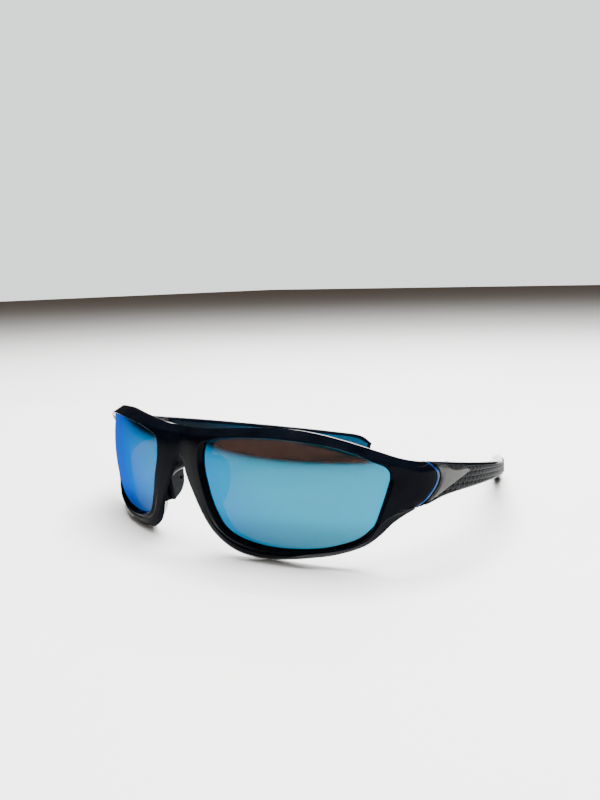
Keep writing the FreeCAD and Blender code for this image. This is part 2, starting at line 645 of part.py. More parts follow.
HINGE = Vector(size("hinge_x"), size("hinge_y"), size("hinge_z"))
for side, sign in ((LEFT, 1), (RIGHT, -1)):
    hinge_place = Vector(sign * HINGE.x, HINGE.y, HINGE.z)
    half_turn = Rotation(Vector(0, 1, 0), 0 if side == LEFT else 180)
    place(front_leaf(f"hinge_front_leaf_{side}"), hinge_place, half_turn)
    place(rear_leaf(f"hinge_rear_leaf_{side}"), hinge_place, half_turn)
    place(hinge_screw(f"hinge_screw_{side}"), hinge_place)
    place(fixing_screws(f"front_leaf_screws_{side}", "fixing_front", -1), hinge_place, half_turn)
    place(fixing_screws(f"rear_leaf_screws_{side}", "fixing_rear", 1), hinge_place, half_turn)
    lean = Rotation(Vector(0, 0, 1), -sign * size("pad_flare"))
    lean = lean * Rotation(Vector(0, 1, 0), sign * size("pad_tilt"))
    place(nose_pad(f"nose_pad_{side}"), Vector(sign * WING_PLACE.x, WING_PLACE.y, WING_PLACE.z), lean)
doc.recompute()


def unshifted(name):
    """Shape of a node already placed, back on the drawing's datum."""
    shape = doc.getObjectsByLabel(name)[0].Shape.copy()
    shape.translate(-ORIGIN_SHIFT)
    return shape


lens = lens_shape()
strip = strip_shape()
badge = badge_shape()
grip = grip_shape()
liner = liner_shape()
arm = arm_shape(badge, grip, liner, unshifted("rear_leaf_screws_left"))

seat = leaf_seat(HINGE.y - size("leaf_front") - size("knuckle_room"), HINGE.y + size("seat_behind"),
                 SEAT_END, LEAF_FACE, size("knuckle_room"))
front = half_front()
for let_in in (lens, strip, seat, hinge_recess(size("pin_head_tall")),
               unshifted("front_leaf_screws_left")):
    front = front.cut(let_in)
front = max(front.Solids, key=lambda solid: solid.Volume)
front = front.fuse(mirrored(front)).removeSplitter()

add_feature("front_frame", front)
for side in (LEFT, RIGHT):
    for name, shape in (("lens", lens), ("accent_strip", strip), ("temple_shell", arm),
                        ("temple_grip", grip), ("temple_liner", liner), ("badge_plate", badge)):
        add_feature(f"{name}_{side}", shape if side == LEFT else mirrored(shape))
doc.recompute()

# ---------------------------------------------------------------- checks and files

for item in doc.Objects:
    if any(state in ("Invalid", "Error") for state in item.State):
        raise RuntimeError(f"{item.Label} did not compute: {item.State}")
for node in nodes:
    if node.Shape.isNull() or not node.Shape.isValid() or node.Shape.Volume <= 0:
        raise RuntimeError(f"{node.Label} has no valid solid")
os.makedirs("parts", exist_ok=True)
for node in nodes:
    node.Shape.exportStep(f"parts/{node.Label}.step")
    box = node.Shape.BoundBox
    print(f"{node.Label}: {len(node.Shape.Solids)} solid, {node.Shape.Volume:.1f} mm3, "
          f"x {box.XMin:.2f}..{box.XMax:.2f} y {box.YMin:.2f}..{box.YMax:.2f} "
          f"z {box.ZMin:.2f}..{box.ZMax:.2f}")
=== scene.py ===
import math
import bmesh
import bpy
import numpy as np
from mathutils import Euler, Matrix, Vector


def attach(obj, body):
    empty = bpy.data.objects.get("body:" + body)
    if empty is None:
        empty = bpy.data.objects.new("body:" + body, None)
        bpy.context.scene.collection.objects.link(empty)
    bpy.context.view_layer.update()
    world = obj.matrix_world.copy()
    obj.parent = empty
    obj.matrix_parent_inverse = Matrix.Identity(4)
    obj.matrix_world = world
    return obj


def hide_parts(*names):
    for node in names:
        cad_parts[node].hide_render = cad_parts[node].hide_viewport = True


# Wraparound sport sunglasses.  Shapes are drawn in millimetres in the left half: u runs
# along the outer face's plan line from the bridge round to the arm's tip, z is the height
# above the table and d is the depth below the outer face.

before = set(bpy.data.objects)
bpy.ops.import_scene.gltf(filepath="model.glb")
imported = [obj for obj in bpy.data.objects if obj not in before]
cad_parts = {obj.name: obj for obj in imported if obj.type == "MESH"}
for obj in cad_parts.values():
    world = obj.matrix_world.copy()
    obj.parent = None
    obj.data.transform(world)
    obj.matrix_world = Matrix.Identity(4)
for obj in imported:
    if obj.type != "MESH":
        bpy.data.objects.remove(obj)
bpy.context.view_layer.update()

MM = 0.001
DEPTH_CENTRE = 54.9
SPHERE = (14.4, 52.6, 25.1)
FACE_RADIUS = 69.9
LENS_RADIUS = 68.4
LENS_PROUD = 1.5
LENS_THICK = 2.0
BRIDGE_ROUND = 3.0
RIM_DEPTH = 5.6
LENS_SEAT = 0.9
ARM_THICK = 4.0
ARM_GAP = 0.45
# The plan's arcs behind the lens sphere: centre and radius, and the directions in degrees
# that the outer face looks in where each arc ends.
RIM_TURN, ENDPIECE_TURN, ARM_TURN = 48, 82, 118.5
ENDPIECE_CENTRE, ENDPIECE_RADIUS = (47.03, 23.22), 26.0
ARM_CENTRE, ARM_RADIUS = (-19.39, 32.56), 93.1
TIP_HEADING, TIP_REACH = math.radians(28.5), 60
RIM_END_X, JOINT_Y = 66.35, 19.6
FADE_START = 8  # the sphere's curve starts to fade this far before the rim's end

LENS_OPENING = [
    (11.1, 29.5), (12.0, 34.6), (17.7, 36.9), (27.0, 38.2), (37.0, 38.6), (48.0, 37.6),
    (57.0, 35.1), (62.0, 32.4), (64.5, 30.9), (65.5, 28.9), (65.2, 25.9), (63.5, 19.4),
    (61.2, 13.2), (58.0, 8.8), (50.5, 6.2), (38.0, 4.9), (26.5, 5.9), (18.6, 9.0), (15.0, 15.0), (12.5, 23.0),
]
BROW = [(0, 39.0), (9, 39.3), (18.5, 40.2), (28, 41.1), (37, 41.5), (46.4, 40.8),
        (55.6, 38.6), (64, 35.3), (72.1, 31.6)]
JOINT = [(17.6, 31.3), (19.7, 29.4), (20.7, 27.0), (19.6, 24.4), (16.9, 21.7), (13.6, 18.6)]
LOWER = [(71.6, 18.6), (70.3, 17.8), (66.7, 14.2), (63.5, 10.4), (59.4, 6.9), (52.5, 4.1),
         (44.6, 2.4), (36, 1.0), (29.5, 0.5), (24.5, 0.9), (20.5, 1.9), (16.5, 3.9),
         (13.4, 6.3), (11.2, 9.0), (9.4, 12.4), (8.0, 15.4), (6.4, 18.6), (4.4, 22.0),
         (2.7, 25.2), (1.8, 28.0), (0, 29.8)]
STRIP_WIDTH = 1.0
ARM_TOP = [(17.6, 31.3), (28, 29.4), (60, 23.1), (90, 17.1), (114, 11.9),
           (122.5, 9.5), (126.8, 5.7)]
ARM_BOTTOM = [(13.6, 18.7), (20, 19.9), (28, 20.2), (40, 19.6), (55, 18.1), (70, 15.9),
              (85, 12.5), (100, 7.4), (112, 2.7), (120.0, 0.1), (125.2, 1.7), (126.8, 5.7)]
LINER_TOP = [(36, 26.6), (60, 21.9), (90, 15.9), (112, 11.1), (120, 8.9), (124.6, 5.9)]
LINER_BOTTOM = [(36, 21.4), (55, 19.5), (70, 17.3), (85, 13.9), (100, 8.9), (112, 4.2), (119.8, 1.6),
                (123.6, 2.9), (124.6, 5.9)]
BADGE_TOP = [(18.9, 30.2), (22.5, 29.7), (25.0, 28.4), (29.0, 27.5), (33.0, 27.1), (35.2, 26.2)]
BADGE_BOTTOM = [(15.4, 20.1), (19.6, 21.5), (24.5, 23.1), (30.0, 24.5), (34.0, 25.5), (35.2, 26.2)]
WING = [(-6.5, 8.7), (-3.2, 8.9), (-0.2, 7.4), (1.8, 4.0), (2.2, -0.6), (1.4, -4.8),
        (-0.8, -7.7), (-3.2, -9.1), (-6.5, -9.3)]
WING_PLACE = (10.6, -8.3, 22.6)
WING_TILT, WING_FLARE = math.radians(10.0), math.radians(-7.0)
WING_FACE, WING_THICK = 0.75, 1.8
HOLE_RADIUS, HOLE_PITCH = 0.65, 2.8


# ------------------------------------------------------------------ curves and the plan

def smooth(points, closed=False, per_span=24):
    """Dense smooth line through the points, with tangents from their neighbours."""
    p = np.array(points, float)
    if closed:
        p = np.vstack([p[-1:], p, p[:2]])
    else:
        p = np.vstack([2 * p[:1] - p[1:2], p, 2 * p[-1:] - p[-2:-1]])
    step = np.linalg.norm(np.diff(p, axis=0), axis=1)
    line = []
    for i in range(1, len(p) - 2):
        slope_in = (p[i + 1] - p[i - 1]) / (step[i] + step[i - 1]) * step[i]
        slope_out = (p[i + 2] - p[i]) / (step[i + 1] + step[i]) * step[i]
        for t in np.arange(per_span) / per_span:
            line.append((2 * t**3 - 3 * t**2 + 1) * p[i] + (t**3 - 2 * t**2 + t) * slope_in
                        + (3 * t**2 - 2 * t**3) * p[i + 1] + (t**3 - t**2) * slope_out)
    if not closed:
        line.append(p[-2])
    return np.array(line)


def lengths(line):
    return np.concatenate([[0.0], np.cumsum(np.linalg.norm(np.diff(line, axis=0), axis=1))])


def at_length(line, wanted):
    run = lengths(line)
    return np.stack([np.interp(wanted, run, line[:, k]) for k in range(line.shape[1])], axis=1)


def evenly(line, count):
    return at_length(line, np.linspace(0, lengths(line)[-1], count))


def eased(t):
    t = np.clip(t, 0.0, 1.0)
    return t * t * (3 - 2 * t)


def arc(centre, radius, first, last):
    """Points of a plan arc, by the direction that its outward normal faces, in degrees."""
    turn = np.radians(np.linspace(first, last, 240))
    return np.stack([centre[0] + radius * np.sin(turn), centre[1] - radius * np.cos(turn)], axis=1)


def plan_line():
    """The outer face's plan at the height of the lens centre, from the bridge to the tip."""
    x = np.linspace(0.0, SPHERE[0], 120)
    rounded = x + BRIDGE_ROUND * np.exp(-x / BRIDGE_ROUND) - SPHERE[0]
    bridge = np.stack([x, SPHERE[1] - np.sqrt(FACE_RADIUS**2 - rounded**2)], axis=1)
    rim = arc(SPHERE, FACE_RADIUS, 0, RIM_TURN)
    endpiece = arc(ENDPIECE_CENTRE, ENDPIECE_RADIUS, RIM_TURN, ENDPIECE_TURN)
    arm = arc(ARM_CENTRE, ARM_RADIUS, ENDPIECE_TURN, ARM_TURN)
    heading = (-math.sin(TIP_HEADING), math.cos(TIP_HEADING))
    tip = arm[-1] + np.outer(np.linspace(0, TIP_REACH, 60), heading)
    return np.vstack([bridge, rim[1:], endpiece[1:], arm[1:], tip[1:]])


PLAN = plan_line()
PLAN_U = lengths(PLAN)
SLOPE = np.gradient(PLAN, axis=0)
PLAN_TURN = np.unwrap(np.arctan2(SLOPE[:, 1], SLOPE[:, 0]))
PLAN_TURN[0] = 0.0
REAR = int(np.argmax(PLAN[:, 0]))
RIM_END = float(np.interp(RIM_END_X, PLAN[:REAR, 0], PLAN_U[:REAR]))
BEHIND_BRIDGE = 150  # index past the bridge, from where y only grows along the plan


def along_x(x):
    return np.interp(x, PLAN[:REAR, 0], PLAN_U[:REAR])


def along_y(y):
    return np.interp(y, PLAN[BEHIND_BRIDGE:, 1], PLAN_U[BEHIND_BRIDGE:])


JOINT_U = float(along_y(JOINT_Y))


def on_sphere(u):
    """1 where the outer face is spherical, easing to 0 at the arm joint."""
    start = RIM_END - FADE_START
    return 1 - eased((u - start) / (JOINT_U - start))


def front_view(points, radius=FACE_RADIUS):
    """Points seen from the front (x, z) on a sphere of this radius, as (u, z)."""
    x, z = np.array(points, float).T
    reach = np.sqrt(radius**2 - (z - SPHERE[2])**2)
    stretch = (FACE_RADIUS / reach - 1) * np.maximum(x - SPHERE[0], 0.0)
    return np.stack([along_x(x + stretch * on_sphere(along_x(x))), z], axis=1)


def side_view(points):
    """Points drawn from the side (y, z), as (u, z)."""
    points = np.array(points, float)
    return np.stack([along_y(points[:, 0]), points[:, 1]], axis=1)


def in_space(u, z, d):
    """Row-frame position in metres of a point at (u, z), d below the outer face."""
    u, z, d = (np.asarray(v, float) for v in (u, z, d))
    turn = np.interp(u, PLAN_U, PLAN_TURN)
    x, y = np.interp(u, PLAN_U, PLAN[:, 0]), np.interp(u, PLAN_U, PLAN[:, 1])
    sag = FACE_RADIUS - np.sqrt(FACE_RADIUS**2 - (z - SPHERE[2])**2)
    inward = d + sag * on_sphere(u)
    x = x - np.sin(turn) * inward
    x = np.where(u < 1e-6, 0.0, x)
    return np.stack([x, y + np.cos(turn) * inward - DEPTH_CENTRE, z], axis=-1) * MM


# ------------------------------------------------------------------ meshes

def mesh_object(name, verts, faces, materials, face_slots=None, both_sides=False):
    """A smooth-shaded object from points and faces; both_sides adds the mirrored half."""
    mesh = bpy.data.meshes.new(name)
    verts = np.asarray(verts)
    if both_sides:
        count = len(verts)
        verts = np.vstack([verts, verts * (-1, 1, 1)])
        faces = list(faces) + [[count + i for i in reversed(f)] for f in faces]
        face_slots = None if face_slots is None else list(face_slots) * 2
    mesh.from_pydata(verts.tolist(), [], [list(f) for f in faces])
    for material in materials:
        mesh.materials.append(material)
    if face_slots is not None:
        mesh.polygons.foreach_set("material_index", face_slots)
    work = bmesh.new()
    work.from_mesh(mesh)
    bmesh.ops.remove_doubles(work, verts=work.verts, dist=2e-6)
    on_plane = [f for f in work.faces if both_sides and all(abs(v.co.x) < 1e-6 for v in f.verts)]
    bmesh.ops.delete(work, geom=on_plane, context="FACES")
    bmesh.ops.dissolve_degenerate(work, dist=1e-6, edges=work.edges)
    bmesh.ops.recalc_face_normals(work, faces=work.faces)
    work.to_mesh(mesh)
    work.free()
    mesh.shade_smooth()
    obj = bpy.data.objects.new(name, mesh)
    bpy.context.scene.collection.objects.link(obj)
    return obj


def grid_faces(rows, columns, closed_rows=False, closed_columns=False):
    """Quads of a grid of points stored row by row."""
    faces = []
    for i in range(rows if closed_rows else rows - 1):
        for j in range(columns if closed_columns else columns - 1):
            a, b = i * columns + j, i * columns + (j + 1) % columns
            c = (i + 1) % rows * columns + (j + 1) % columns
            faces.append((a, b, c, (i + 1) % rows * columns + j))
    return faces


def rounded_section(corners, radii, fills):
    """Closed section through the corners, each rounded; fills adds points on each leg."""
    count = len(corners)
    points = []
    for i in range(count):
        here = corners[i]
        to_last, to_next = corners[i - 1] - here, corners[(i + 1) % count] - here
        cut_last = min(radii[i], 0.42 * np.linalg.norm(to_last))
        cut_next = min(radii[i], 0.42 * np.linalg.norm(to_next))
        start = here + to_last / max(np.linalg.norm(to_last), 1e-9) * cut_last
        end = here + to_next / max(np.linalg.norm(to_next), 1e-9) * cut_next
        for t in (0.0, 0.25, 0.5, 0.75, 1.0):
            points.append((1 - t)**2 * start + 2 * t * (1 - t) * here + t * t * end)
        after = (i + 1) % count
        back = -to_next
        cut = min(radii[after], 0.42 * np.linalg.norm(back))
        next_start = corners[after] + back / max(np.linalg.norm(back), 1e-9) * cut
        for k in range(1, fills[i] + 1):
            points.append(end + (next_start - end) * k / (fills[i] + 1))
    return np.array(points)


# ------------------------------------------------------------------ materials

def new_material(name):
    material = bpy.data.materials.new(name)
    material.use_nodes = True
    material.node_tree.nodes.clear()
    return material, material.node_tree


def node(tree, kind, **settings):
    made = tree.nodes.new(kind)
    for key, value in settings.items():
        if key in made.inputs.keys():
            made.inputs[key].default_value = value
        else:
            setattr(made, key, value)
    return made


def noise(tree, scale, detail=4.0):
    """Noise in the object's own coordinates."""
    place = node(tree, "ShaderNodeTexCoord")
    made = node(tree, "ShaderNodeTexNoise", Scale=scale, Detail=detail)
    tree.links.new(place.outputs["Object"], made.inputs["Vector"])
    return made


def ramp(tree, source, low, high, at=(0.35, 0.65)):
    made = node(tree, "ShaderNodeValToRGB")
    made.color_ramp.elements[0].position, made.color_ramp.elements[1].position = at
    made.color_ramp.elements[0].color = (*low, 1.0)
    made.color_ramp.elements[1].color = (*high, 1.0)
    tree.links.new(source, made.inputs["Fac"])
    return made


def surface_material(name, low, high, rough, scale=300.0, bump=0.05, grain=1500.0, **settings):
    """Principled material whose colour and roughness vary a little by noise."""
    material, tree = new_material(name)
    out = node(tree, "ShaderNodeOutputMaterial")
    body = node(tree, "ShaderNodeBsdfPrincipled", **settings)
    tree.links.new(body.outputs["BSDF"], out.inputs["Surface"])
    mottling = noise(tree, scale)
    colour = ramp(tree, mottling.outputs["Fac"], low, high)
    tree.links.new(colour.outputs["Color"], body.inputs["Base Color"])
    spread = node(tree, "ShaderNodeMapRange")
    spread.inputs["To Min"].default_value, spread.inputs["To Max"].default_value = rough
    tree.links.new(mottling.outputs["Fac"], spread.inputs["Value"])
    tree.links.new(spread.outputs["Result"], body.inputs["Roughness"])
    fine = noise(tree, grain, 2.0)
    raised = node(tree, "ShaderNodeBump", Strength=bump, Distance=0.0001)
    tree.links.new(fine.outputs["Fac"], raised.inputs["Height"])
    tree.links.new(raised.outputs["Normal"], body.inputs["Normal"])
    return material


def paint_shade_towards_hinge(material):
    """Paints shade into a material's colour, darker towards the arm's front end, where the frame shades the
    liner.
    """
    tree = material.node_tree
    body = next(each for each in tree.nodes if each.type == "BSDF_PRINCIPLED")
    colour = body.inputs["Base Color"].links[0].from_socket
    place = node(tree, "ShaderNodeTexCoord")
    split = node(tree, "ShaderNodeSeparateXYZ")
    share = node(tree, "ShaderNodeMapRange")
    for socket, value in (("From Min", -0.005), ("From Max", 0.050), ("To Min", 0.12), ("To Max", 1.2)):
        share.inputs[socket].default_value = value
    shaded = node(tree, "ShaderNodeVectorMath", operation="SCALE")
    tree.links.new(place.outputs["Object"], split.inputs["Vector"])
    tree.links.new(split.outputs["Y"], share.inputs["Value"])
    tree.links.new(colour, shaded.inputs["Vector"])
    tree.links.new(share.outputs["Result"], shaded.inputs["Scale"])
    tree.links.new(shaded.outputs["Vector"], body.inputs["Base Color"])


def mirror_lens_material():
    """Outer face: blue mirror coating over a brown tint."""
    material, tree = new_material("lens_mirror")
    out = node(tree, "ShaderNodeOutputMaterial")
    facing = node(tree, "ShaderNodeLayerWeight", Blend=0.35)
    tint = ramp(tree, facing.outputs["Facing"], (0.0, 0.145, 0.235), (0.001, 0.036, 0.24), (0.10, 0.62))
    waves = noise(tree, 30.0, 1.0)
    sheen = node(tree, "ShaderNodeMapRange")
    sheen.inputs["To Min"].default_value, sheen.inputs["To Max"].default_value = 0.02, 0.05
    tree.links.new(waves.outputs["Fac"], sheen.inputs["Value"])
    mirror = node(tree, "ShaderNodeBsdfAnisotropic")
    tree.links.new(tint.outputs["Color"], mirror.inputs["Color"])
    tree.links.new(sheen.outputs["Result"], mirror.inputs["Roughness"])
    brown = node(tree, "ShaderNodeBsdfTransparent", Color=(0.20, 0.095, 0.068, 1.0))
    both = node(tree, "ShaderNodeMixShader", Fac=0.9)
    tree.links.new(brown.outputs["BSDF"], both.inputs[1])
    tree.links.new(mirror.outputs["BSDF"], both.inputs[2])
    tree.links.new(both.outputs["Shader"], out.inputs["Surface"])
    return material


def tinted_lens_material():
    """Inner face and edge: brown tinted polycarbonate."""
    material, tree = new_material("lens_tint")
    out = node(tree, "ShaderNodeOutputMaterial")
    clear = node(tree, "ShaderNodeBsdfTransparent")
    haze = noise(tree, 90.0, 2.0)
    tint = ramp(tree, haze.outputs["Fac"], (0.78, 0.66, 0.58), (0.84, 0.73, 0.65))
    tree.links.new(tint.outputs["Color"], clear.inputs["Color"])
    gloss = node(tree, "ShaderNodeBsdfPrincipled", Roughness=0.05)
    gloss.inputs["Base Color"].default_value = (0.05, 0.02, 0.012, 1.0)
    both = node(tree, "ShaderNodeMixShader", Fac=0.1)
    tree.links.new(clear.outputs["BSDF"], both.inputs[1])
    tree.links.new(gloss.outputs["BSDF"], both.inputs[2])
    tree.links.new(both.outputs["Shader"], out.inputs["Surface"])
    return material


def floor_material():
    return surface_material("floor_paper", (0.83, 0.83, 0.82), (0.86, 0.86, 0.85), (0.55, 0.65), 8.0, 0.02)


GLOSS_BLACK = surface_material("gloss_black", (0.0006, 0.0009, 0.0018), (0.0014, 0.002, 0.0036), (0.06, 0.11),
                               120.0, 0.02, 900.0, **{"Specular IOR Level": 0.02})
GRIP_GREY = surface_material("grip_charcoal", (0.0015, 0.0018, 0.0024), (0.007, 0.008, 0.010), (0.34, 0.46),
                             700.0, 0.10, 2500.0, **{"Specular IOR Level": 0.07})
LINER_BLUE = surface_material("liner_blue", (0.0, 0.020, 0.045),
                              (0.0, 0.028, 0.060), (0.40, 0.50), 200.0, 0.05,
                              **{"Specular IOR Level": 0.06})
# painted shade: the liner's blue darkens towards the hinge, where the frame casts shade on it
paint_shade_towards_hinge(LINER_BLUE)
STRIP_BLUE = surface_material("strip_blue", (0.001, 0.022, 0.09),
                              (0.002, 0.032, 0.12), (0.18, 0.28), 400.0, 0.04,
                              **{"Specular IOR Level": 0.25})
BADGE_METAL = surface_material("badge_gunmetal", (0.015, 0.0147, 0.0138),
                               (0.030, 0.0292, 0.027), (0.36, 0.48),
                               900.0, 0.12, 4000.0, Metallic=0.3)
PAD_RUBBER = surface_material("pad_rubber", (0.004, 0.005, 0.006), (0.008, 0.009, 0.011), (0.55, 0.7),
                              600.0, 0.15, 3000.0, **{"Specular IOR Level": 0.15})
STEEL = surface_material("brushed_steel", (0.014, 0.014, 0.015), (0.026, 0.026, 0.028), (0.28, 0.42),
                         1200.0, 0.10, 5000.0, Metallic=1.0)
SCREW_STEEL = surface_material("screw_steel", (0.06, 0.06, 0.06), (0.10, 0.10, 0.10), (0.22, 0.34),
                               1500.0, 0.06, 5000.0, Metallic=1.0)
LENS_MIRROR = mirror_lens_material()
LENS_TINT = tinted_lens_material()


# ------------------------------------------------------------------ front frame

OPENING = front_view(smooth(LENS_OPENING, closed=True), LENS_RADIUS)
OPENING = np.vstack([OPENING, OPENING[:1]])

# Anchors round the ring: lens-opening point (x, z), then the outer edge: its line and how
# far along it, then the section's sizes in millimetres: bevel, crease set in from the outer
# edge, crease depth, outer edge depth, rear depth, rear edge moved out, groove.
RING = [
    ("brow", 0.00, (12.0, 34.6), (0.9, 1.7, 0.1, 2.8, 5.6, -0.8, 0.0)),
    ("brow", 0.26, (21.0, 37.5), (0.7, 1.7, 0.2, 3.4, 5.8, -0.5, 0.0)),
    ("brow", 0.46, (37.0, 38.6), (0.6, 1.9, 0.2, 3.6, 6.0, -0.5, 0.0)),
    ("brow", 0.76, (57.0, 35.1), (0.7, 2.1, 0.2, 2.8, 5.6, -0.4, 0.0)),
    ("brow", 1.00, (64.9, 30.5), (0.9, 1.6, 0.4, 1.2, 4.0, -0.2, 0.0)),
    ("joint", 0.00, (65.3, 30.1), (0.9, 0.5, 0.6, 1.1, 4.0, 0.0, 0.0)),
    ("joint", 0.22, (65.4, 28.3), (0.9, 0.3, 0.0, 0.3, 4.0, 0.0, 0.0)),
    ("joint", 0.76, (64.2, 22.0), (0.9, 0.3, 0.0, 0.3, 4.0, 0.0, 0.0)),
    ("joint", 1.00, (63.2, 19.0), (0.9, 0.5, 0.6, 1.1, 4.0, 0.0, 0.0)),
    ("lower", 0.00, (63.0, 18.6), (0.9, 0.9, 0.5, 1.2, 4.0, -0.2, 0.0)),
    ("lower", 0.11, (61.2, 13.2), (0.9, 3.4, 0.2, 2.2, 4.4, -0.4, 0.0)),
    ("lower", 0.24, (58.0, 8.8), (0.8, 2.6, 0.3, 2.4, 5.0, -0.5, 0.2)),
    ("lower", 0.50, (38.0, 4.9), (0.6, 1.5, 0.3, 2.6, 5.6, -0.2, 0.5)),
    ("lower", 0.69, (20.0, 8.2), (0.7, 1.2, 0.2, 1.2, 5.6, -3.2, 0.4)),
    ("lower", 0.86, (13.6, 19.0), (0.8, 0.5, 0.1, 0.6, 5.6, -4.6, 0.0)),
    ("lower", 1.00, (11.2, 30.2), (0.9, 0.6, 0.1, 0.7, 5.6, 2.8, 0.0)),
    ("bridge", 0.0, (11.3, 30.8), (0.9, 0.0, 0.1, 0.9, 5.6, 0.0, 0.0)),
    ("bridge", 1.0, (11.8, 33.8), (0.9, 0.0, 0.1, 2.8, 5.6, 0.0, 0.0)),
]
COLUMN_PITCH = 0.55
CORNER_RADII = [0.35, 0.2, 0.35, 0.25, 0.25, 0.7, 0.6, 0.15, 0.6]
BRIDGE_RADII = CORNER_RADII[:5] + [0.0] * 4
LEG_FILLS = [3, 0, 3, 2, 4, 3, 0, 3, 5]


def opening_length(point):
    target = front_view([point], LENS_RADIUS)[0]
    return lengths(OPENING)[np.argmin(np.linalg.norm(OPENING - target, axis=1))]


def outer_lines():
    brow, lower = front_view(smooth(BROW)), front_view(smooth(LOWER))
    joint = side_view(smooth(JOINT))
    joint[:, 0] -= STRIP_WIDTH
    brow = np.vstack([brow[brow[:, 0] < joint[0, 0] - 0.2], joint[:1]])
    lower = np.vstack([joint[-1:], lower[lower[:, 0] < joint[-1, 0] - 0.2]])
    bridge = np.array([(0.0, LOWER[-1][1] + 1.2), (0.0, BROW[0][1] - 2.4)])
    return {"brow": brow, "joint": joint, "lower": lower, "bridge": bridge}


def edge_normals(name, line):
    """Outward direction of each point of an outer edge, in (u, z)."""
    slope = np.gradient(line, axis=0)
    normal = np.stack([-slope[:, 1], slope[:, 0]], axis=1)
    normal /= np.linalg.norm(normal, axis=1)[:, None]
    if name == "brow":
        normal[0] = (0, 1)
    if name == "lower":
        normal[-1] = (0, -1)
    return normal


def ring_columns():
    """Matching points of the opening and the outer edge, with the section's sizes."""
    lines = outer_lines()
    columns = []
    total = lengths(OPENING)[-1]
    for first, last in zip(RING, RING[1:]):
        if first[0] != last[0]:
            continue
        line = lines[first[0]]
        run = lengths(line)[-1]
        inner_first, inner_last = opening_length(first[2]), opening_length(last[2])
        if inner_last < inner_first:
            inner_last += total
        longest = max(run * (last[1] - first[1]), inner_last - inner_first)
        count = max(3, int(np.ceil(longest / COLUMN_PITCH)))
        t = np.linspace(0, 1, count, endpoint=last[1] == 1.0)
        inner = at_length(OPENING, (inner_first + t * (inner_last - inner_first)) % total)
        wanted = run * (first[1] + t * (last[1] - first[1]))
        outer = at_length(line, wanted)
        normal = at_length_normals(first[0], line, wanted)
        sizes = np.outer(1 - eased(t), first[3]) + np.outer(eased(t), last[3])
        columns += list(zip(inner, outer, normal, sizes))
    return columns


def at_length_normals(name, line, wanted):
    run, normals = lengths(line), edge_normals(name, line)
    found = np.stack([np.interp(wanted, run, normals[:, k]) for k in range(2)], axis=1)
    return found / np.linalg.norm(found, axis=1)[:, None]


def ring_section(inner, outer, normal, sizes):
    bevel, crease_in, crease_depth, edge_depth, rear_depth, rear_out, groove = sizes
    across = (outer - inner) / np.linalg.norm(outer - inner)
    face_start, face_end = inner + across * bevel, outer - normal * crease_in
    rear = outer + normal * rear_out
    if outer[0] < 1e-6:
        face_end, rear = outer * (0, 1) - normal * (0, crease_in), outer * (0, 1) + normal * (0, rear_out)
    flat = face_end - face_start
    corners = [
        (*(inner + across * 0.35), RIM_DEPTH - 0.2), (*inner, 1.2), (*face_start, 0.0),
        (*(face_start + flat * 0.35), groove), (*(face_start + flat * 0.45), 0.0),
        (*face_end, crease_depth), (*outer, edge_depth), (*outer, edge_depth + 0.02),
        (*rear, rear_depth),
    ]
    radii = CORNER_RADII if outer[0] > 1e-6 or abs(normal[1]) == 1 and crease_in > 0 else BRIDGE_RADII
    return rounded_section(np.array(corners), radii, LEG_FILLS)


def front_frame():
    columns = ring_columns()
    sections = np.array([ring_section(*column) for column in columns])
    count, around = sections.shape[:2]
    flat = sections.reshape(-1, 3)
    flat[:, 0] = np.where(flat[:, 0] < 1e-6, 0.0, flat[:, 0])
    verts = in_space(flat[:, 0], flat[:, 1], flat[:, 2])
    faces = grid_faces(count, around, closed_rows=True, closed_columns=True)
    return mesh_object("front_rim", verts, faces, [GLOSS_BLACK], both_sides=True)


def nose_wing(sign):
    """Plastic wing behind the rim, with three vent holes, that carries the rubber pad."""
    outline = np.array(smooth(WING, per_span=8))
    rings = []
    for x, inset in ((WING_FACE, 0.35), (WING_FACE + 0.15, 0.08), (WING_FACE + 0.5, 0.0),
                     (WING_FACE + WING_THICK - 0.5, 0.0), (WING_FACE + WING_THICK - 0.1, 0.2),
                     (WING_FACE + WING_THICK, 0.5)):
        middle = outline.mean(axis=0)
        away = outline - middle
        ring = outline - away / np.linalg.norm(away, axis=1)[:, None] * inset
        rings.append(np.column_stack([np.full(len(ring), x), ring]))
    turn = Matrix.Rotation(WING_FLARE, 4, "Z") @ Matrix.Rotation(WING_TILT, 4, "Y")
    place = Matrix.Translation(Vector(WING_PLACE) - Vector((0, DEPTH_CENTRE, 0))) @ turn
    points = [place @ Vector(p) for ring in rings for p in ring]
    verts = np.array([(sign * p.x, p.y, p.z) for p in points]) * MM
    count = len(outline)
    faces = grid_faces(len(rings), count, closed_columns=True)
    faces += [list(range(count)), list(range(len(verts) - count, len(verts)))]
    name = "nose_wing_left" if sign > 0 else "nose_wing_right"
    wing = mesh_object(name, verts, faces, [GLOSS_BLACK])
    for step in (-1, 0, 1):
        bpy.ops.mesh.primitive_cylinder_add(vertices=24, radius=HOLE_RADIUS * MM, depth=6 * MM)
        drill = bpy.context.object
        at = place @ Vector((WING_FACE + WING_THICK / 2, 0, step * HOLE_PITCH))
        along = (place.to_3x3() @ Vector((1, 0, 0)))
        at.x, along.x = at.x * sign, along.x * sign
        drill.matrix_world = Matrix.Translation(at * MM) @ along.to_track_quat("Z", "Y").to_matrix().to_4x4()
        cut = wing.modifiers.new("hole", "BOOLEAN")
        cut.operation, cut.object, cut.solver = "DIFFERENCE", drill, "EXACT"
        bpy.context.view_layer.objects.active = wing
        bpy.ops.object.modifier_apply(modifier="hole")
        bpy.data.objects.remove(drill)
    return wing


# ------------------------------------------------------------------ lenses

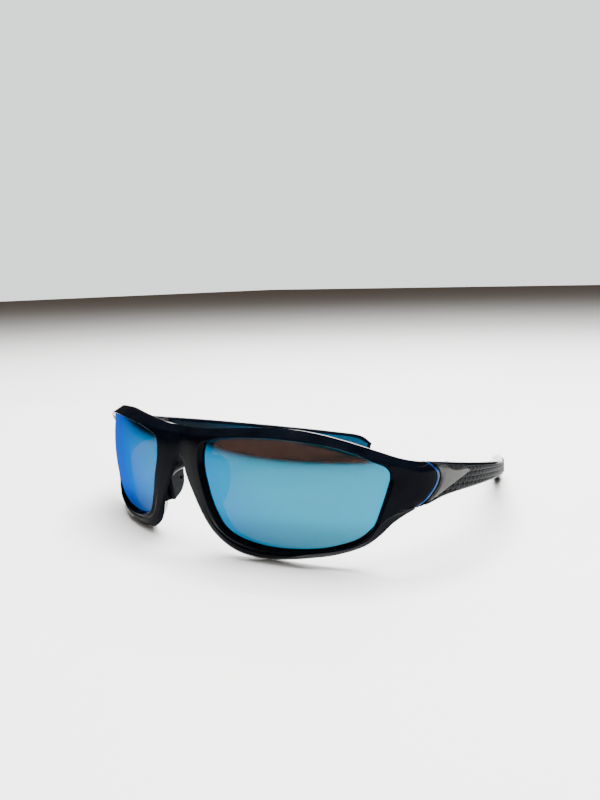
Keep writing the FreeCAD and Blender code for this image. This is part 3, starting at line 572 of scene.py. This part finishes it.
def lens(sign):
    """Spherical lens: outer face from its middle to the edge, then the inner face."""
    rim = evenly(OPENING, 161)[:-1]
    centre = front_view([(38.0, 22.0)])[0]
    away = rim - centre
    edge = rim + away / np.linalg.norm(away, axis=1)[:, None] * LENS_SEAT
    shares = np.linspace(0.0, 1.0, 40)[1:]
    rings, depths = [], []
    for depth, order in ((LENS_PROUD, shares), (LENS_PROUD + LENS_THICK, shares[::-1])):
        for share in order:
            rings.append(centre + (edge - centre) * share)
            depths.append(np.full(len(rim), depth))
    points = np.vstack(rings)
    verts = in_space(points[:, 0], points[:, 1], np.concatenate(depths))
    poles = in_space([centre[0]] * 2, [centre[1]] * 2, [LENS_PROUD, LENS_PROUD + LENS_THICK])
    count, rows = len(rim), len(rings)
    faces = grid_faces(rows, count, closed_columns=True)
    slots = [0 if i // count < len(shares) - 1 else 1 for i in range(len(faces))]
    front_pole, back_pole = len(verts), len(verts) + 1
    for j in range(count):
        faces.append((front_pole, j, (j + 1) % count))
        faces.append((back_pole, (rows - 1) * count + j, (rows - 1) * count + (j + 1) % count))
        slots += [0, 1]
    verts = np.vstack([verts, poles]) * (sign, 1, 1)
    name = "lens_shield_left" if sign > 0 else "lens_shield_right"
    return mesh_object(name, verts, faces, [LENS_MIRROR, LENS_TINT], slots)


FACET_DROP, FACET_TOP_Z, FACET_LOW_Z = 1.1, 28.6, 21.4
FACET_TOP_RUN, FACET_LOW_RUN = 2.7, 2.8


def joint_band(name, side, sign, shifts, depths, material):
    """Arrow-shaped band across the joint, between two shifts along the plan line."""
    line = side_view(smooth(JOINT))
    sections = []
    for u, z in line:
        (first, last), (top, low) = shifts, depths
        top = top + FACET_DROP * eased((z - FACET_TOP_Z) / FACET_TOP_RUN)
        top = top + FACET_DROP * eased((FACET_LOW_Z - z) / FACET_LOW_RUN)
        corners = np.array([(u + first, z, top), (u + last, z, top),
                            (u + last, z, low), (u + first, z, low)])
        sections.append(rounded_section(corners, [0.15] * 4, [1] * 4))
    points = np.array(sections)
    count, around = points.shape[:2]
    flat = points.reshape(-1, 3)
    verts = in_space(flat[:, 0], flat[:, 1], flat[:, 2]) * (sign, 1, 1)
    faces = grid_faces(count, around, closed_columns=True)
    faces += [list(range(around)), list(range((count - 1) * around, count * around))]
    return mesh_object(f"{name}_{side}", verts, faces, [material])


# ------------------------------------------------------------------ arms

ARM_TOP_LINE, ARM_BOTTOM_LINE = side_view(smooth(ARM_TOP)), side_view(smooth(ARM_BOTTOM))
JOINT_LINE = side_view(smooth(JOINT))


def ladder(top, bottom, rungs, widths, joint_shift):
    """Points between two edges: rungs along them and widths (0 bottom, 1 top) across.
    The first rung follows the joint's arrow shape and the next ones ease to straight."""
    shares = 1 - (1 - np.linspace(0, 1, rungs))**1.25
    upper, lower = at_length(top, shares * lengths(top)[-1]), at_length(bottom, shares * lengths(bottom)[-1])
    net = lower[:, None, :] * (1 - widths)[None, :, None] + upper[:, None, :] * widths[None, :, None]
    if joint_shift is None:
        return net
    order = np.argsort(JOINT_LINE[:, 1])
    arrow = np.interp(net[0, :, 1], JOINT_LINE[order, 1], JOINT_LINE[order, 0]) + joint_shift - net[0, :, 0]
    net[:, :, 0] += arrow[None, :] * (1 - eased(shares * lengths(top)[-1] / 16.0))[:, None]
    return net


def inset_edges(top, bottom, inset, end_y):
    """The two edges moved towards each other, and cut off at end_y."""
    top, bottom = top.copy(), bottom.copy()
    top[:, 1] -= inset
    bottom[:, 1] += inset
    limit = along_y(end_y)
    return top[top[:, 0] <= limit], bottom[bottom[:, 0] <= limit]


def arm_shell(sign):
    """Arm body: a rounded section swept along the arm's plan and outline."""
    across = np.array([0.0, 0.05, 0.14, 0.3, 0.5, 0.7, 0.86, 0.95, 1.0])
    outer_depth = np.array([1.1, 0.45, 0.1, 0, 0, 0, 0.1, 0.45, 1.1])
    inner_depth = ARM_THICK - outer_depth
    rungs = 150
    net = ladder(ARM_TOP_LINE, ARM_BOTTOM_LINE, rungs, across, ARM_GAP)
    ring = np.concatenate([net, net[:, ::-1]], axis=1)
    depth = np.concatenate([outer_depth, inner_depth[::-1]])
    end_taper = 1 - 0.35 * eased((np.arange(rungs) - rungs * 0.93) / (rungs * 0.07))
    depths = ARM_THICK / 2 + (depth[None, :] - ARM_THICK / 2) * end_taper[:, None]
    around = ring.shape[1]
    verts = in_space(ring[..., 0].ravel(), ring[..., 1].ravel(), depths.ravel()) * (sign, 1, 1)
    faces = grid_faces(rungs, around, closed_columns=True)
    faces += [list(range(around)), list(range((rungs - 1) * around, rungs * around))]
    name = "arm_shell_left" if sign > 0 else "arm_shell_right"
    return mesh_object(name, verts, faces, [GLOSS_BLACK])


def plate(name, sign, top, bottom, depths, material, rungs, widths, joint_shift, relief=None):
    """Thin plate on the arm: depths gives its face and its base below the outer face."""
    net = ladder(top, bottom, rungs, widths, joint_shift)
    face, base = depths
    level = np.full(net.shape[:2], face)
    if relief is not None:
        level = level - relief(net, widths)
    columns = len(widths)
    top_verts = in_space(net[..., 0], net[..., 1], level).reshape(-1, 3)
    low_verts = in_space(net[..., 0], net[..., 1], np.full(net.shape[:2], base)).reshape(-1, 3)
    verts = np.vstack([top_verts, low_verts]) * (sign, 1, 1)
    faces = grid_faces(rungs, columns)
    count = rungs * columns
    border = [j for j in range(columns)] + [i * columns + columns - 1 for i in range(1, rungs)]
    border += [(rungs - 1) * columns + j for j in range(columns - 2, -1, -1)]
    border += [i * columns for i in range(rungs - 2, 0, -1)]
    for a, b in zip(border, border[1:] + border[:1]):
        faces.append((a, b, count + b, count + a))
    side = "left" if sign > 0 else "right"
    return mesh_object(f"{name}_{side}", verts, faces, [material])


SCALE_LENGTH, SCALE_HEIGHT, SCALE_RISE = 2.6, 1.45, 0.5


def scales(net, widths):
    """Overlapping scales in staggered rows, each rising to its rear edge."""
    run = net[..., 0] - JOINT_U
    tall = net[:, -1:, 1] - net[:, :1, 1]
    rise = (widths[None, :] - 0.5) * tall / SCALE_HEIGHT
    row = np.floor(rise)
    within = rise - row
    step = run / SCALE_LENGTH + 0.5 * (row % 2)
    phase = step - np.floor(step)
    dome = np.sqrt(np.clip(1 - (2 * within - 1)**2, 0, 1))
    ramped = np.clip(phase / 0.82, 0, 1) * np.clip((1 - phase) / 0.12, 0, 1)
    fade = eased((85.0 - run) / 5.0) * eased(tall / 3.0 - 0.2)
    edge = np.minimum(widths, 1 - widths)[None, :] * tall
    return SCALE_RISE * dome**0.6 * ramped * fade * eased(edge / 0.5)


GRIP_BORDER, GRIP_END_Y = 0.6, 104.0


def arm_pieces(side, sign):
    """Shell, textured grip, badge plate and inner liner of one arm, riding on it."""
    body = f"arm_{side}"
    pieces = [(arm_shell(sign), "temple_shell", "temple_gloss_black")]
    top, bottom = inset_edges(ARM_TOP_LINE, ARM_BOTTOM_LINE, GRIP_BORDER, GRIP_END_Y)
    grip = plate("arm_grip", sign, top, bottom, (-0.02, 0.6), GRIP_GREY, 420,
                 np.linspace(0, 1, 61), 0.9, scales)
    pieces.append((grip, "temple_grip", "grip_charcoal"))
    badge_top, badge_bottom = side_view(smooth(BADGE_TOP)), side_view(smooth(BADGE_BOTTOM))
    badge = plate("arm_badge", sign, badge_top, badge_bottom, (-0.55, 0.3), BADGE_METAL, 60,
                  np.linspace(0, 1, 17), 0.55, crowned)
    pieces.append((badge, "badge_plate", "badge_gunmetal"))
    top, bottom = side_view(smooth(LINER_TOP)), side_view(smooth(LINER_BOTTOM))
    liner = plate("arm_liner", sign, top, bottom, (ARM_THICK + 0.02, ARM_THICK - 0.5), LINER_BLUE, 90,
                  np.linspace(0, 1, 9), None)
    pieces.append((liner, "temple_liner", "liner_blue"))
    for piece, node_name, slot_name in pieces:
        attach(piece, body)
        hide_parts(f"{node_name}_{side}")


def crowned(net, widths):
    """Slight crown with softened borders."""
    edge = np.minimum(widths, 1 - widths)
    ends = np.minimum(np.arange(net.shape[0]), np.arange(net.shape[0])[::-1]) / 3.0
    return 0.25 * eased(edge / 0.12)[None, :] * eased(ends)[:, None] - 0.2


# ------------------------------------------------------------------ assembly

rim = front_frame()
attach(rim, "front")
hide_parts("front_frame")
for side, sign in (("left", 1), ("right", -1)):
    wing = nose_wing(sign)
    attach(wing, "front")
    shield = lens(sign)
    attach(shield, "front")
    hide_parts(f"lens_{side}")
    strip = joint_band("joint_strip", side, sign, (0.05 - STRIP_WIDTH, 0.0), (-0.05, 1.6), STRIP_BLUE)
    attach(strip, "front")
    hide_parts(f"accent_strip_{side}")
    core = joint_band("joint_core", side, sign, (-STRIP_WIDTH - 1.0, -0.1), (1.5, 4.0), GLOSS_BLACK)
    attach(core, "front")
    arm_pieces(side, sign)

CAD_FINISH = {"nose_pad": PAD_RUBBER, "hinge_front_leaf": STEEL,
              "hinge_rear_leaf": STEEL, "hinge_screw": SCREW_STEEL, "front_leaf_screws": SCREW_STEEL,
              "rear_leaf_screws": SCREW_STEEL}
for base, material in CAD_FINISH.items():
    for side in ("left", "right"):
        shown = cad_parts[f"{base}_{side}"]
        shown.data.materials.clear()
        shown.data.materials.append(material)


# ------------------------------------------------------------------ stage, light, camera

CAMERA_AT = Vector((0.19661, -0.22553, 0.08465))
CAMERA_TURN = [math.radians(degrees) for degrees in (81.2663, 1.62823, 42.6593)]
CAMERA_LENS, CAMERA_SENSOR = 35.96, 36.0


def look_matrix(at, target):
    return Matrix.Translation(at) @ (target - at).to_track_quat("-Z", "Y").to_matrix().to_4x4()


def floor():
    bpy.ops.mesh.primitive_plane_add(size=8.0, location=(0, 0, 0))
    made = bpy.context.object
    made.name = "floor"
    made.data.materials.append(floor_material())


def area_light(name, at, target, width, height, power, shines=True):
    data = bpy.data.lights.new(name, "AREA")
    data.shape, data.size, data.size_y = "RECTANGLE", width, height
    data.energy = power
    lamp = bpy.data.objects.new(name, data)
    lamp.matrix_world = look_matrix(Vector(at), Vector(target))
    lamp.visible_glossy = shines
    bpy.context.scene.collection.objects.link(lamp)


def surroundings():
    world = bpy.data.worlds.new("studio")
    bpy.context.scene.world = world
    world.use_nodes = True
    tree = world.node_tree
    seen = tree.nodes["Background"]
    seen.inputs["Color"].default_value = (0.93, 0.95, 0.97, 1.0)
    seen.inputs["Strength"].default_value = 1.6
    room = node(tree, "ShaderNodeBackground", Color=(1.0, 0.8, 0.65, 1.0), Strength=0.09)
    path = node(tree, "ShaderNodeLightPath")
    both = node(tree, "ShaderNodeMixShader")
    tree.links.new(path.outputs["Is Camera Ray"], both.inputs[0])
    tree.links.new(room.outputs["Background"], both.inputs[1])
    tree.links.new(seen.outputs["Background"], both.inputs[2])
    tree.links.new(both.outputs["Shader"], tree.nodes["World Output"].inputs["Surface"])


def camera():
    data = bpy.data.cameras.new("photo_camera")
    data.sensor_fit = "VERTICAL"
    data.sensor_height = CAMERA_SENSOR
    data.lens = CAMERA_LENS
    data.clip_start = 0.01
    made = bpy.data.objects.new("photo_camera", data)
    turn = Euler(CAMERA_TURN, "XYZ").to_matrix().to_4x4()
    made.matrix_world = Matrix.Translation(CAMERA_AT) @ turn
    bpy.context.scene.collection.objects.link(made)
    bpy.context.scene.camera = made


floor()
surroundings()
area_light("overhead", (0.05, 0.1, 0.9), (0, 0, 0), 1.0, 0.8, 50.0, shines=False)
area_light("side_fill", (0.7, -0.5, 0.6), (0, 0, 0), 0.6, 0.6, 5.0, shines=False)
area_light("brow_strip", (-0.25, 0.55, 0.5), (0, 0, 0.03), 0.9, 0.03, 6.0)
area_light("top_strip", (-0.12, 0.30, 0.85), (0, 0, 0.03), 0.5, 0.03, 6.0)
camera()
